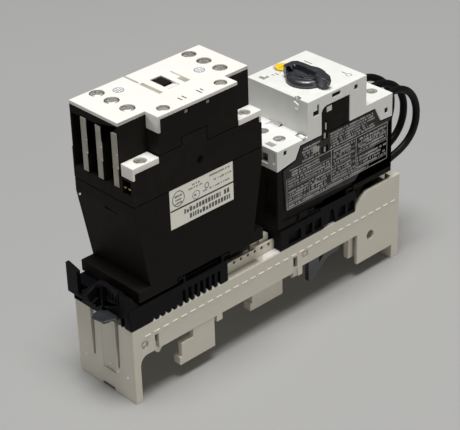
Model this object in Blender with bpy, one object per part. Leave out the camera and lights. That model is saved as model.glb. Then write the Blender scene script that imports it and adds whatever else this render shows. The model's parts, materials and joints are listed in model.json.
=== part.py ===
"""A motor starter on a busbar adapter: a 45 mm contactor and a 45 mm motor-protective circuit
breaker side by side on a 200 mm adapter that hooks onto three 12 mm busbars at 60 mm pitch.

The working axes: x runs along the adapter from its pull-tab end, y across it, z up. All numbers in
the functions below are millimetres from the adapter's near end, its centre plane and its feet;
ORIGIN_X moves the finished part so that its origin is at the bottom centre of the housing.
"""

import math

import bmesh
import bpy
from mathutils import Vector
from mathutils.geometry import interpolate_bezier

MM = 0.001
ORIGIN_X = 94.5  # from the adapter's near end to the part's origin
GAP = 0.3  # between pieces that touch
HALF = 22.5  # half of the 45 mm device width

# Adapter
ADAPTER_LENGTH = 200.0
END_PLATE = 4.3
FAR_PLATE = 194.4
WALL = 2.0
RIM = 44.5  # top of the adapter's side walls
DECK_BOTTOM = 42.5
SKIRT = 27.0  # bottom of the side walls
PLATE_BOTTOM = 27.3
PLATE_TOP = 29.3
GUIDE_TOP = 50.5  # top of the two rails that guide the carriers
GUIDE_Y = (15.7, 17.2)
POCKET_RIM = 54.0
HOOK_BOTTOM = 8.5
HOOK_THICK = 3.0
NECK_TOP = 26.7
TOE_REACH = 1.5  # of the wider toe beyond the hook's edge
TOE_WIDTH = 5.2
TOE_TOP = 13.3
BUSBAR_PITCH = 60.0
BUSBAR_X = (19.5, 31.5)  # the first busbar, 12 mm wide
BUSBAR_Z = (16.5, 26.5)  # and 10 mm thick
STRIP_Y = (-9.5, -1.5, 6.5)  # the three phases inside the adapter

# Carriers and the 35 mm rail on them
CARRIER_BOTTOM = 44.8
CARRIER_TOP = 58.6
SEAT = 58.9  # underside of both devices
RAIL_WIDTH = 35.0
LIP = (60.0, 61.5)
CONTACTOR_RAIL = 32.0  # x of the contactor's rail, outer edge
BREAKER_RAIL = 126.0
TOOTH_PITCH = 4.05  # of the notches along the contactor carrier's lower edge
# Windows in the breaker carrier's sides
WINDOWS_X = ((110.9, 120.2), (123.7, 128.8), (130.9, 136.0), (149.7, 155.0), (157.3, 162.0))
WINDOW_Z = (46.4, 52.6)

# Contactor
FLANGE_TOP = 65.4
SEAM = 113.5  # between base and housing
COIL_TOP = 134.5
BAND_TOP = 153.7
FRONT = (154.0, 155.9)
NEAR_END = 6.9
FAR_END = 92.4
STEP_Y = -13.4  # where the poles' block ends and the auxiliary block begins
POLES_Y = (18.1, 6.95, -4.75)
TUNNEL_HALF = 3.4
RIBS_Y = tuple((y - TUNNEL_HALF - 4.1, y - TUNNEL_HALF - 0.2) for y in POLES_Y)
TUNNEL_Z = (120.0, 149.6)
MAIN_SCREWS_X = (20.8, 81.4)
AUX_SCREWS = ((32.4, -17.2), (70.0, -17.2))
COIL_SCREWS = ((15.6, -18.0), (84.4, -18.0))
PULL_IN = 5.0
LIMBS_X = ((30, 37), (46.5, 53.5), (63, 70))  # of the E-shaped magnet

# Breaker
BREAKER_X = (103.0, 192.3)
BLOCK_X = (125.7, 171.0)
BLOCK_TOP = 125.8
NEAR_SHOULDER = 105.8
FAR_SHOULDER = 107.5
BREAKER_POLES_Y = (-12.5, 0.0, 12.5)
LOAD_SCREW_X = 114.6
LINE_SCREW_X = 186.0
CLAMP_STRIP_Z = (90.5, 93.0)
ROTOR = (123.0, 82.0)  # x and z of the axis that the three contact bridges turn about
ROTOR_RADIUS = 4.2
ROTOR_TURN = 20.0  # degrees from open to closed
BRIDGE_REACH = 10.5
BRIDGE_HALF = 1.0  # half of a bridge's thickness
HANDLE = (144.6, -3.4)
DIAL = (147.0, 16.5)
PLUNGER = (131.6, 15.5)
WINDOW = (136.3, 158.0)  # x of the opening in the cover's sides
WIRE_RADIUS = 2.15
WIRE_SPACING = 5.5  # between the points of a wire's tube
WIRE_EXIT_Z = 99.5


def clear_scene():
    for old in list(bpy.data.objects):
        bpy.data.objects.remove(old, do_unlink=True)


def material(name, colour, roughness, metallic=0.0):
    made = bpy.data.materials.new(name)
    made.use_nodes = True
    shader = made.node_tree.nodes["Principled BSDF"]
    shader.inputs["Base Color"].default_value = (*colour, 1.0)
    shader.inputs["Roughness"].default_value = roughness
    shader.inputs["Metallic"].default_value = metallic
    return made


# Shapes. Each is a closed shell: its points in millimetres, and its faces.


def prism(outline, axis, start, end):
    """Runs an outline along an axis. The outline is in the other two axes, in x, y, z order."""
    place = {
        "x": lambda a, b, t: (t, a, b),
        "y": lambda a, b, t: (a, t, b),
        "z": lambda a, b, t: (a, b, t),
    }[axis]
    count = len(outline)
    points = [place(a, b, t) for t in (start, end) for a, b in outline]
    faces = [tuple(range(count)), tuple(range(count, 2 * count))]
    faces += [(i, (i + 1) % count, (i + 1) % count + count, i + count) for i in range(count)]
    return points, faces


def box(x0, x1, y0, y1, z0, z1):
    return prism([(x0, y0), (x1, y0), (x1, y1), (x0, y1)], "z", z0, z1)


def circle(a, b, radius, sides):
    step = 2 * math.pi / sides
    return [(a + radius * math.cos(i * step), b + radius * math.sin(i * step)) for i in range(sides)]


def disc(x, y, radius, z0, z1, sides=20):
    return prism(circle(x, y, radius, sides), "z", z0, z1)


def rod(axis, a, b, radius, start, end, sides=16):
    return prism(circle(a, b, radius, sides), axis, start, end)


def cone(x, y, low_radius, high_radius, z0, z1, sides=24):
    points, faces = disc(x, y, low_radius, z0, z1, sides)
    top = [(a, b, z1) for a, b in circle(x, y, high_radius, sides)]
    return points[:sides] + top, faces


def rounded(x0, x1, y0, y1, radius, per_corner=4):
    """A rectangle with round corners, as an outline."""
    outline = []
    corners = ((x1, y1, 0), (x0, y1, 90), (x0, y0, 180), (x1, y0, 270))
    for x, y, start in corners:
        cx = x + (radius if x == x0 else -radius)
        cy = y + (radius if y == y0 else -radius)
        for i in range(per_corner + 1):
            angle = math.radians(start + 90 * i / per_corner)
            outline.append((cx + radius * math.cos(angle), cy + radius * math.sin(angle)))
    return outline


def mirrored(shape):
    """The same shape on the other side of the centre plane."""
    points, faces = shape
    return [(x, -y, z) for x, y, z in points], faces


def mesh_of(shape, name):
    points, faces = shape
    mesh = bpy.data.meshes.new(name)
    shell = bmesh.new()
    corners = [shell.verts.new(((x - ORIGIN_X) * MM, y * MM, z * MM)) for x, y, z in points]
    for face in faces:
        shell.faces.new([corners[i] for i in face])
    bmesh.ops.recalc_face_normals(shell, faces=shell.faces)
    shell.to_mesh(mesh)
    shell.free()
    return mesh


def add_object(name, data):
    made = bpy.data.objects.new(name, data)
    bpy.context.scene.collection.objects.link(made)
    return made


def carve(target, shape, operation):
    """Joins a shape to the target or cuts it out, and keeps the result as the target's mesh."""
    tool = add_object("tool", mesh_of(shape, "tool"))
    change = target.modifiers.new("change", "BOOLEAN")
    change.operation = operation
    change.solver = "EXACT"
    change.object = tool
    bpy.context.view_layer.update()
    graph = bpy.context.evaluated_depsgraph_get()
    result = bpy.data.meshes.new_from_object(target.evaluated_get(graph))
    target.modifiers.remove(change)
    old = target.data
    target.data = result
    bpy.data.meshes.remove(old)
    bpy.data.objects.remove(tool, do_unlink=True)


def build(name, finish, shapes, cuts=(), then=(), pivot=(ORIGIN_X, 0.0, 0.0), round_piece=False):
    """One closed body: the first shapes joined, less the cuts, with the last shapes joined on."""
    made = add_object(name, mesh_of(shapes[0], name))
    for shape in shapes[1:]:
        carve(made, shape, "UNION")
    for shape in cuts:
        carve(made, shape, "DIFFERENCE")
    for shape in then:
        carve(made, shape, "UNION")
    made.data.name = name
    made.data.materials.clear()
    made.data.materials.append(finish)
    place = Vector(((pivot[0] - ORIGIN_X) * MM, pivot[1] * MM, pivot[2] * MM))
    for corner in made.data.vertices:
        corner.co -= place
    made.location = place
    if round_piece:
        made.data.shade_smooth()
        made.data.set_sharp_from_angle(angle=math.radians(35))
    return made


def tube(name, finish, points, radius, resolution=2):
    """A round bar along a line of points, with closed ends."""
    curve = bpy.data.curves.new(name, "CURVE")
    curve.dimensions = "3D"
    curve.bevel_depth = radius * MM
    curve.bevel_resolution = resolution
    curve.use_fill_caps = True
    line = curve.splines.new("POLY")
    line.points.add(len(points) - 1)
    for corner, (x, y, z) in zip(line.points, points):
        corner.co = ((x - ORIGIN_X) * MM, y * MM, z * MM, 1.0)
    curve.materials.append(finish)
    return add_object(name, curve)


# Adapter


def both_sides(*shapes):
    return [side for shape in shapes for side in (shape, mirrored(shape))]


def adapter_body(finish):
    side_wall = [
        (3.0, 25.0), (END_PLATE, 25.0), (END_PLATE + 2, SKIRT), (121.0, SKIRT), (121.0, 28.5),
        (165.0, 28.5), (165.0, 9.0), (197.0, 9.0), (197.0, POCKET_RIM), (171.9, POCKET_RIM),
        (168.6, 51.7), (164.6, 46.9), (163.5, RIM), (3.0, RIM),
    ]
    inner = HALF - WALL
    shapes = [
        box(0, END_PLATE, -HALF, HALF, 0, RIM),
        *both_sides(prism(side_wall, "y", -HALF, -inner)),
        box(3, 165, -HALF, HALF, DECK_BOTTOM, RIM),
        box(FAR_PLATE, ADAPTER_LENGTH, -HALF, HALF, 0, POCKET_RIM),
        *both_sides(box(6, 163.2, *GUIDE_Y, RIM - 1, GUIDE_TOP)),
        box(161.5, 163.5, -inner - 1, inner + 1, PLATE_BOTTOM, RIM - 1),
        box(161.5, 195, -inner - 1, inner + 1, PLATE_BOTTOM, PLATE_TOP),
        *both_sides(box(161.5, 168, 12.8, 18.9, 12.8, 28)),
        box(97, 103.8, -14, -9, RIM - 1, 53.5),
        box(92, 98, -12, -10, RIM - 1, 50),
        *both_sides(box(113.7, 121, inner, HALF, 23.5, 29), box(57, 61, inner, HALF, 23.2, 27)),
    ]
    cuts = [
        box(14.5, 17, -HALF - 1, HALF + 1, 28, 36),
        box(115, 117, -HALF - 1, HALF + 1, 29.6, 36.5),
        box(-1, 5, 8.8, 10.3, 16, 38),
        box(-1, 5, -11, -9.5, 17, 41),
        prism([(-1, -6.9), (0.3, -6.9), (0.9, -4.5), (0.9, 0), (0.3, 2.4), (-1, 2.4)], "z", 12, 42),
        box(-1, 5, -5.3, 4.3, -1, 2),
        rod("y", 175.9, 24.1, 3.0, -HALF - 1, HALF + 1),
        box(193, 201, -16, 16, 50, 55),
        box(122, 136.4, -15.5, -12.2, 40, 46),
        box(160, 165, STRIP_Y[0] - 3, STRIP_Y[2] + 3, 31, 34),
    ]
    build("adapter_body", finish, shapes, cuts)


def hook_plate(finish):
    hooks = (
        # offset along x, y of the hook's near face, end of its shank
        (0, -22.2, 55.6),
        (60, -12.6, 115.6),
        (120, 1.0, 161.2),
    )
    plate_y = HALF - WALL - GAP
    shapes = [box(END_PLATE + GAP, 161.2, -plate_y, plate_y, PLATE_BOTTOM, PLATE_TOP)]
    for offset, near, shank_end in hooks:
        heel = offset + BUSBAR_X[1] + 0.7
        neck = offset + 40.5
        hook = [
            (heel - 0.5, HOOK_BOTTOM), (shank_end, HOOK_BOTTOM), (shank_end, NECK_TOP), (neck, NECK_TOP),
            (neck, BUSBAR_Z[1] - 4.7), (heel, BUSBAR_Z[1] - 4.7), (heel, HOOK_BOTTOM + 2),
        ]
        shapes.append(prism(hook, "y", near, near + HOOK_THICK))
        shapes.append(box(heel - TOE_REACH, heel + 6, near, near + TOE_WIDTH, HOOK_BOTTOM, TOE_TOP))
        shapes.append(box(neck, shank_end, max(near, -plate_y), near + TOE_WIDTH, NECK_TOP - 3, PLATE_TOP - 0.5))
    cuts = [box(122, 136.4, -15.5, -12.2, 26, 31)]
    for number, y in enumerate(STRIP_Y):
        x = BUSBAR_X[0] + number * BUSBAR_PITCH
        cuts.append(box(x + 1, x + 11, y - 2.8, y + 2.8, 26, 31))
    build("hook_plate", finish, shapes, cuts)


def busbar_clips(finish):
    """Copper spring leaves that press on the busbars, each with its strip to the wire pocket."""
    for number, y in enumerate(STRIP_Y):
        x = BUSBAR_X[0] + number * BUSBAR_PITCH
        shapes = [
            box(x + 1.5, x + 10.5, y - 2.5, y + 2.5, 26.7, 27.5),
            box(x + 1.5, x + 2.5, y - 2.5, y + 2.5, 27, 33),
            box(x + 2, 184, y - 1.5, y + 1.5, 32, 33),
        ]
        build(f"busbar_clip_{number + 1}", finish, shapes)


def release_slide(finish):
    tongue = [
        (-9.8, -3.5), (-10.7, -5.8), (-11.0, -8.5), (-10.7, -10.8), (-9.8, -13.2), (-8.0, -14.1),
        (-2.3, -13.9), (0.8, -11.5), (1.6, -6.0), (-3.5, -1.2), (-7.5, -1.6),
    ]
    latch = [
        (130.8, 26), (130.8, 11.8), (131.6, 10.8), (134, 10.8), (137.4, 14.3), (139.2, 16.2), (139.2, 26),
    ]
    shapes = [
        prism(tongue, "z", 47.2, 50),
        box(-4, 135, -8, -2, 45, 47.5),
        box(128, 135, -15.2, -2.5, 45, 47.5),
        box(130.8, 135, -15.2, -12.5, 22, 46),
        prism(latch, "y", -18, -14.8),
    ]
    build("release_slide", finish, shapes)


def rail(start, lips):
    """The two edges of a 35 mm mounting rail that stand on a carrier."""
    low, high = lips
    end = start + RAIL_WIDTH
    edge = HALF - 0.2
    return [
        box(start + 3.5, start + 5, -edge, edge, CARRIER_TOP - 1, high),
        box(start, start + 4.2, -edge, edge, low, high),
        box(end - 5, end - 3.5, -edge, edge, CARRIER_TOP - 1, high),
        box(end - 4.2, end, -edge, edge, low, high),
    ]


def guide_grooves(start, end):
    low, high = GUIDE_Y
    return both_sides(box(start, end, low - GAP, high + GAP, CARRIER_BOTTOM - 1, GUIDE_TOP + GAP))


def contactor_carrier(finish):
    near_post = [(-0.5, 45), (5, 45), (5, 58.3), (1.5, 64), (-0.5, 64)]
    wing = [(13.7, 51), (HALF, 51), (HALF, 68.5), (13.7, 66.3)]
    shapes = [
        box(-0.5, 66, -HALF, HALF, CARRIER_BOTTOM, 57.6),
        box(6, 66, -20, 20, 57, CARRIER_TOP),
        *rail(CONTACTOR_RAIL, LIP),
        prism(near_post, "y", -22.4, -14.5),
        prism(wing, "x", -4, 1.5),
        box(0.5, 2.6, -15, 2.6, 52, 64),
        prism([(2.6, 52), (2.6, 64), (0, 64), (-8, 60.5), (-8, 58), (-3, 52)], "y", 1.1, 2.6),
        box(-4, 1, 0, 14, 51, 53),
    ]
    cuts = [
        *guide_grooves(-1, 67),
        box(3, 63.5, -14, 14, CARRIER_BOTTOM - 1, 54),
        box(-1, 4, -14.3, -0.4, CARRIER_BOTTOM - 1, 50.6),
        box(63, 67, -8.4, -1.6, CARRIER_BOTTOM - 1, 48),
    ]
    side = HALF - 1.8
    for number in range(12):
        x = 14 + TOOTH_PITCH * number
        height = 46.4 if number < 5 else 53.2
        cuts += both_sides(box(x, x + 2, side, HALF + 1, CARRIER_BOTTOM - 1, height))
    build("contactor_carrier", finish, shapes, cuts)


def breaker_carrier(finish):
    gap = [
        (137.5, CARRIER_BOTTOM - 1), (147.3, CARRIER_BOTTOM - 1), (145.4, 54), (143.3, 54), (141.5, 48.5),
        (139, 47.5),
    ]
    shapes = [
        box(104.4, 163.2, -HALF, HALF, CARRIER_BOTTOM, CARRIER_TOP),
        *rail(BREAKER_RAIL, LIP),
    ]
    side = HALF - 1.8
    cuts = [
        *guide_grooves(104, 164),
        box(107, 160.5, -14, 14, CARRIER_BOTTOM - 1, 54),
        box(104, 108, -8.4, -1.6, CARRIER_BOTTOM - 1, 48),
        box(121, 136.5, -15.5, -13.5, CARRIER_BOTTOM - 1, 48.2),
        *both_sides(
            prism(gap, "y", side, HALF + 1),
            *(box(x0, x1, side, HALF + 1, *WINDOW_Z) for x0, x1 in WINDOWS_X),
        ),
    ]
    build("breaker_carrier", finish, shapes, cuts)


def route_points(knots, spacing):
    """Points about this far apart on a smooth curve through the knots."""
    places = [Vector(knot) for knot in knots]
    last = len(places) - 1
    fine = []
    for i in range(last):
        before = places[max(i - 1, 0)]
        after = places[min(i + 2, last)]
        leave = places[i] + (places[i + 1] - before) / 6
        arrive = places[i + 1] - (after - places[i]) / 6
        fine += interpolate_bezier(places[i], leave, arrive, places[i + 1], 9)[:-1]
    fine.append(places[last])
    reached = [0.0]
    for one, other in zip(fine, fine[1:]):
        reached.append(reached[-1] + (other - one).length)
    count = round(reached[-1] / spacing)
    points = []
    at = 0
    for i in range(count + 1):
        wanted = reached[-1] * i / count
        while at < len(fine) - 2 and reached[at + 1] < wanted:
            at += 1
        part = (wanted - reached[at]) / (reached[at + 1] - reached[at])
        points.append(fine[at].lerp(fine[at + 1], min(part, 1.0)))
    return points


def supply_wires(finish):
    """Three stiff leads in air, from the breaker's line terminals over and down to the pocket."""
    middles = (-12.5, -3.0, 6.5)
    profile = (
        # x, z, and how far y has gone from the terminal (0) to the middle (1) and the strip (2)
        (186.9, 99.5, 0.0), (191.5, 99.5, 0.0), (198.5, 100.4, 0.1), (206.0, 100.5, 0.35),
        (213.4, 98.2, 0.6), (219.4, 93.4, 0.85), (223.2, 86.8, 1.0), (224.5, 79.3, 1.0),
        (223.2, 71.9, 1.0), (219.2, 65.4, 1.1), (213.0, 60.8, 1.3), (205.8, 58.0, 1.5),
        (198.6, 55.4, 1.7), (192.0, 51.3, 1.85), (186.6, 45.6, 1.95), (183.2, 39.4, 2.0),
        (182.2, 33.4, 2.0),
    )
    for number, terminal in enumerate(BREAKER_POLES_Y):
        middle = middles[number]
        end = STRIP_Y[number]
        knots = []
        for x, z, along in profile:
            low, high, part = (terminal, middle, along) if along <= 1 else (middle, end, along - 1)
            knots.append((x, low + (high - low) * part, z))
        tube(f"supply_wire_{number + 1}", finish, route_points(knots, WIRE_SPACING), WIRE_RADIUS)


# Contactor


def slotted_screw(name, finish, x, y, head_radius, head, shank_bottom):
    low, high = head
    shapes = [disc(x, y, head_radius, low, high), disc(x, y, 1.8, shank_bottom, low + 0.5, 12)]
    cuts = [box(x - head_radius * 0.8, x + head_radius * 0.8, y - 0.45, y + 0.45, high - 1, high + 1)]
    build(name, finish, shapes, cuts, round_piece=True)


def contactor_base(finish):
    side = [
        (6, SEAT), (92, SEAT), (92, FLANGE_TOP), (85.2, FLANGE_TOP), (FAR_END, 106),
        (FAR_END, SEAM - 0.15), (6.5, SEAM - 0.15), (6.5, 106), (13.8, FLANGE_TOP), (6, FLANGE_TOP),
    ]
    cuts = [
        box(17.5, 81.5, -19.5, 19.5, 68, SEAM + 1),
        box(10, 89, -19.5, 19.5, 100, SEAM + 1),
        box(31.5, 67.5, -HALF - 1, HALF + 1, SEAT - 1, 62),
        box(67, 93, -7.3, 7.3, SEAT - 1, 61.6),
        box(28.8, 72, -HALF - 1, -21.8, 90.8, SEAM + 1),
    ]
    claw = box(31, 33.6, -22.2, 22.2, SEAT, 59.6)
    build("contactor_base", finish, [prism(side, "y", -HALF, HALF)], cuts, [claw])


def contactor_housing(finish):
    shapes = [
        box(6.5, FAR_END, -HALF, HALF, SEAM + 0.15, COIL_TOP - 3.8),
        box(NEAR_END, FAR_END, STEP_Y, HALF, 129, BAND_TOP),
        box(24.2, 39, -HALF, STEP_Y + 1, 129, 134.85),
        box(39, 55, -HALF, STEP_Y + 1, 129, 139.35),
        box(54, 76.3, -HALF, STEP_Y + 1, 129, 131.35),
    ]
    cuts = [
        box(38, 62, -11, 20, SEAM - 1, 148),
        box(47.7, 55.6, -4.3, 10.6, 147, BAND_TOP + 1),
        box(5, 13.6, -21, -15, 119, 126.8),
        box(86.6, 94, -21, -15, 119, 126.8),
        box(5, 8.8, -HALF - 1, STEP_Y, 127.2, 132),
        box(90.6, 94, -HALF - 1, STEP_Y, 127.2, 132),
    ]
    for y in POLES_Y:
        cuts.append(box(5, 94, y - TUNNEL_HALF, y + TUNNEL_HALF, *TUNNEL_Z))
        cuts += [disc(x, y, 3.9, 148, BAND_TOP + 1) for x in MAIN_SCREWS_X]
    for x, y in COIL_SCREWS:
        cuts.append(disc(x, y, 2.2, 119.8, 131.5, 12))
    for low, high in RIBS_Y:
        cuts.append(box(5, 10.3, low - 0.2, high + 0.2, 120.2, 150))
        cuts.append(box(8, 10.3, low - 0.2, high + 0.2, 149, BAND_TOP + 1))
    build("contactor_housing", finish, shapes, cuts)


def aux_contact_block(finish):
    inner = STEP_Y - GAP
    shapes = [
        box(24.2, 76.3, -HALF, inner, 139.65, BAND_TOP),
        box(24.2, 38.7, -HALF, inner, 135.15, 141),
        box(55.3, 76.3, -HALF, inner, 131.65, 141),
    ]
    cuts = [box(23, 25.9, -HALF - 1, inner + 1, 146.7, BAND_TOP + 1)]
    for x, y in AUX_SCREWS:
        cuts.append(disc(x, y, 3.4, 152.7, BAND_TOP + 1))
        cuts.append(disc(x, y, 2.1, 145.5, BAND_TOP + 1, 12))
    build("aux_contact_block", finish, shapes, cuts)


def contactor_front(finish):
    low, high = FRONT
    shapes = [
        box(NEAR_END, FAR_END, STEP_Y, HALF, low, high),
        box(24.2, 76.3, -HALF, STEP_Y + 1, low, high),
        box(24.2, 25.6, -HALF, STEP_Y - GAP, 147, high),
    ]
    for y0, y1 in RIBS_Y:
        shapes.append(box(8.3, 10, y0, y1, 148, high))
        shapes.append(box(NEAR_END, 10, y0, y1, 120.5, 149.7))
    groove = high - 0.9
    cuts = [
        box(48, 55.3, -4, 10.3, low - 1, high + 1),
        box(41.4, 42.5, 11.7, HALF + 1, groove, high + 1),
        box(41.3, 43.6, -4.7, 10.5, groove, high + 1),
        box(61.2, 62.0, -4.3, 10.1, groove, high + 1),
        box(58.5, 61.5, -4.3, 1.8, groove, high + 1),
    ]
    for y in POLES_Y:
        cuts += [disc(x, y, 3.9, low - 1, high + 1) for x in MAIN_SCREWS_X]
    cuts += [disc(x, y, 3.4, low - 1, high + 1) for x, y in AUX_SCREWS]
    build("contactor_front", finish, shapes, cuts)


def coil_covers(finish):
    names = ("coil_cover_a1", "coil_cover_a2")
    spans = ((7, 23.9, 7, 8.5), (76.6, FAR_END, FAR_END - 1.5, FAR_END))
    for name, (x0, x1, leg0, leg1), (x, y) in zip(names, spans, COIL_SCREWS):
        inner = STEP_Y - GAP
        shapes = [
            box(x0, x1, -HALF, inner, COIL_TOP - 3.5, COIL_TOP),
            box(leg0, leg1, -HALF, inner, 127.5, COIL_TOP - 1),
        ]
        build(name, finish, shapes, [disc(x, y, 3.3, COIL_TOP - 5, COIL_TOP + 1)])


def contactor_screws(finish):
    number = 0
    for y in POLES_Y:
        for x in MAIN_SCREWS_X:
            number += 1
            slotted_screw(f"main_screw_{number}", finish, x, y, 3.5, (150.3, 153.6), 127.9)
    for number, (x, y) in enumerate(AUX_SCREWS, 1):
        slotted_screw(f"aux_screw_{number}", finish, x, y, 3.05, (153.0, 155.5), 146)
    for number, (x, y) in enumerate(COIL_SCREWS, 1):
        slotted_screw(f"coil_screw_{number}", finish, x, y, 2.95, (131.1, 133.9), 120.2)


def power_contacts(copper):
    """Two fixed contacts for each pole, and the bridge that joins them when the coil pulls in."""
    number = 0
    for pole, y in enumerate(POLES_Y, 1):
        for x0, x1, tip in ((11, 39, 36), (61, 89, 64)):
            number += 1
            shapes = [box(x0, x1, y - 2.3, y + 2.3, 126, 127.5), disc(tip, y, 1.9, 127, 128.4, 12)]
            build(f"fixed_contact_{number}", copper, shapes)
        bridge = [box(33, 67, y - 2.2, y + 2.2, 134.2, 135.4)]
        bridge += [disc(tip, y, 1.9, 133.7, 135, 12) for tip in (36, 64)]
        build(f"contact_bridge_{pole}", copper, bridge)


def contact_carrier(finish):
    shapes = [
        box(44, 56, -10, 19, 121, 138.5),
        box(48.4, 54.9, 0.4, 9.9, 138, 153.4),
        box(46, 54, -7, 7, 108.3, 122),
    ]
    cuts = [box(43, 57, y - 2.5, y + 2.5, 133.9, 136.5) for y in POLES_Y]
    build("contact_carrier", finish, shapes, cuts)


def magnet(steel):
    """The E-shaped core in the base and the E-shaped armature that it pulls down."""
    core = [box(30, 70, -8, 8, 69, 77)] + [box(x0, x1, -8, 8, 76, 88) for x0, x1 in LIMBS_X]
    build("magnet_core", steel, core)
    yoke = [box(30, 70, -8, 8, 100, 108)] + [box(x0, x1, -8, 8, 93.5, 101) for x0, x1 in LIMBS_X]
    build("armature", steel, yoke)


def coil(plastic, copper):
    bobbin = [
        box(37.5, 62.5, -12, 12, 78, 79.5),
        box(37.5, 62.5, -12, 12, 89.5, 91),
        box(45.2, 54.8, -9.3, 9.3, 79, 90),
    ]
    build("coil_bobbin", plastic, bobbin, [box(46.2, 53.8, -8.3, 8.3, 77, 92)])
    winding = prism(rounded(38.5, 61.5, -11.7, 11.7, 2, 3), "z", 79.8, 89.2)
    build("coil_winding", copper, [winding], [box(44.9, 55.1, -9.6, 9.6, 79, 90)])


def return_springs(steel):
    """Two compression springs between the bobbin and the armature."""
    low, high = 91.3 + 0.35, 99.7 - 0.35
    turns, per_turn = 4, 12
    for number, x in enumerate((41.75, 58.25), 1):
        points = []
        for i in range(turns * per_turn + 1):
            angle = 2 * math.pi * i / per_turn
            height = low + (high - low) * i / (turns * per_turn)
            points.append((x + 2.2 * math.cos(angle), 2.2 * math.sin(angle), height))
        tube(f"return_spring_{number}", steel, points, 0.3, 1)


def rail_latch(name, finish, rail_end, tail):
    """The sliding foot under a device that holds the far lip of the rail."""
    nose = rail_end - 1.6
    shapes = [
        box(nose, rail_end + 2.5, -7, 7, 59.15, 59.65),
        box(rail_end + 0.8, tail, -7, 7, 59.15, 61.2),
    ]
    cuts = [box(tail - 2.2, tail - 0.9, -3, 3, 58, 62)]
    build(name, finish, shapes, cuts)


def labels(paper, plate_finish):
    build("rating_label", paper, [box(29.1, 71.7, -22.45, -22.1, 91.1, 113.2)])
    outline = [
        (109, 67.6), (191.6, 62.9), (191.5, 92.7), (182.4, 93.3), (177.6, 102.2), (120.8, 102.2),
        (117, 95.2), (107.2, 93),
    ]
    build("rating_plate", plate_finish, [prism(outline, "y", -22.5, -22.15)])


# Breaker


def breaker_base(finish):
    x0, x1 = BREAKER_X
    side = [
        (x0, SEAT), (x1, SEAT), (x1, 93), (182.6, 93.6), (178, 102.6), (120.3, 102.6),
        (116.7, 95.6), (x0, 93.3),
    ]
    cuts = [
        box(106, 189.3, -19.8, 19.8, 65, 110),
        box(125.5, 161.5, -HALF - 1, HALF + 1, SEAT - 1, 62),
        box(161, 194, -7.3, 7.3, SEAT - 1, 61.6),
        box(106.5, 191.9, -HALF - 1, -21.85, 62.5, 104),
    ]
    claw = box(125, 127.6, -22.2, 22.2, SEAT, 59.6)
    build("breaker_base", finish, [prism(side, "y", -HALF, HALF)], cuts, [claw])


def breaker_cover(finish):
    x0, x1 = BREAKER_X
    b0, b1 = BLOCK_X
    side = [
        (x0, 93.6), (116.5, 95.9), (120.1, 102.9), (178.2, 102.9), (182.8, 93.9), (x1, 93.3),
        (x1, FAR_SHOULDER), (b1, FAR_SHOULDER), (b1, BLOCK_TOP), (b0, BLOCK_TOP),
        (b0, NEAR_SHOULDER), (x0, NEAR_SHOULDER),
    ]
    cuts = [
        box(106, 124, -19.8, 19.8, 90, 103.6),
        box(173, 189.3, -19.8, 19.8, 90, 105),
        box(123, 174, -19.8, 19.8, 90, 103.6),
        box(b0 + 2.5, b1 - 2.5, -19.8, 19.8, 100, 123),
        box(*WINDOW, -HALF - 1, -18, 101, 119),
        disc(*HANDLE, 6, 120, 130),
        disc(*DIAL, 4.7, 118, 130),
        disc(*PLUNGER, 1.7, 120, 130, 12),
        box(124, 128, -16, -13, 119, 130),
    ]
    for y in BREAKER_POLES_Y:
        cuts.append(disc(LOAD_SCREW_X, y, 3.3, 100, 110))
        cuts.append(disc(LINE_SCREW_X, y, 3.3, 100, 110))
        cuts.append(box(100, 107, y - 3, y + 3, 96.4, 102))
        cuts.append(rod("x", y, WIRE_EXIT_Z, 2.6, 188, 194))
    build("breaker_cover", finish, [prism(side, "y", -HALF, HALF)], cuts)


def trip_mechanism(finish):
    shapes = [box(131, 166, -19.4, 16, 98, 118.6)]
    cuts = [disc(*HANDLE, 3.9, 108, 120)]
    build("trip_mechanism", finish, shapes, cuts)


def rotary_handle(finish):
    x, y = HANDLE
    grip = rounded(x - 5.2, x + 4, y - 15.6, y + 11, 3)
    shapes = [
        cone(x, y, 11.2, 10.6, 126.2, 128.6, 32),
        disc(x, y, 9.8, 128, 131, 28),
        prism(grip, "z", 128, 135),
        box(x - 4, x + 4, y - 15, y - 8, 127, 129),
        disc(x, y, 3.5, 110, 127, 16),
    ]
    hollow = [(-13, 136), (-11, 131.6), (-6, 130.6), (2, 130.6), (6, 133), (7, 136)]
    scoop = prism(hollow, "x", x - 6, x - 0.8)
    cuts = [
        scoop,
        box(x - 1.9, x + 1.9, y - 17, y - 4, 127.8, 130.4),
    ]
    build("rotary_handle", finish, shapes, cuts, pivot=(x, y, 126.2), round_piece=True)


def padlock_slide(finish):
    x, y = HANDLE
    shapes = [box(x - 1.5, x + 1.5, y - 15.9, y - 4.6, 128.1, 130.1)]
    build("padlock_slide", finish, shapes, [disc(x, y - 11, 0.9, 127, 131, 10)], pivot=(x, y - 15.9, 129))


def setting_dial(finish):
    x, y = DIAL
    shapes = [disc(x, y, 4.4, 118.9, 126.5)]
    cuts = [box(x - 3, x + 3, y - 0.5, y + 0.5, 125.6, 127)]
    build("setting_dial", finish, shapes, cuts, pivot=(x, y, 126), round_piece=True)


def test_plunger(finish):
    x, y = PLUNGER
    build("test_plunger", finish, [disc(x, y, 1.3, 121, 126.6, 12)], pivot=(x, y, 121), round_piece=True)


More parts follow.
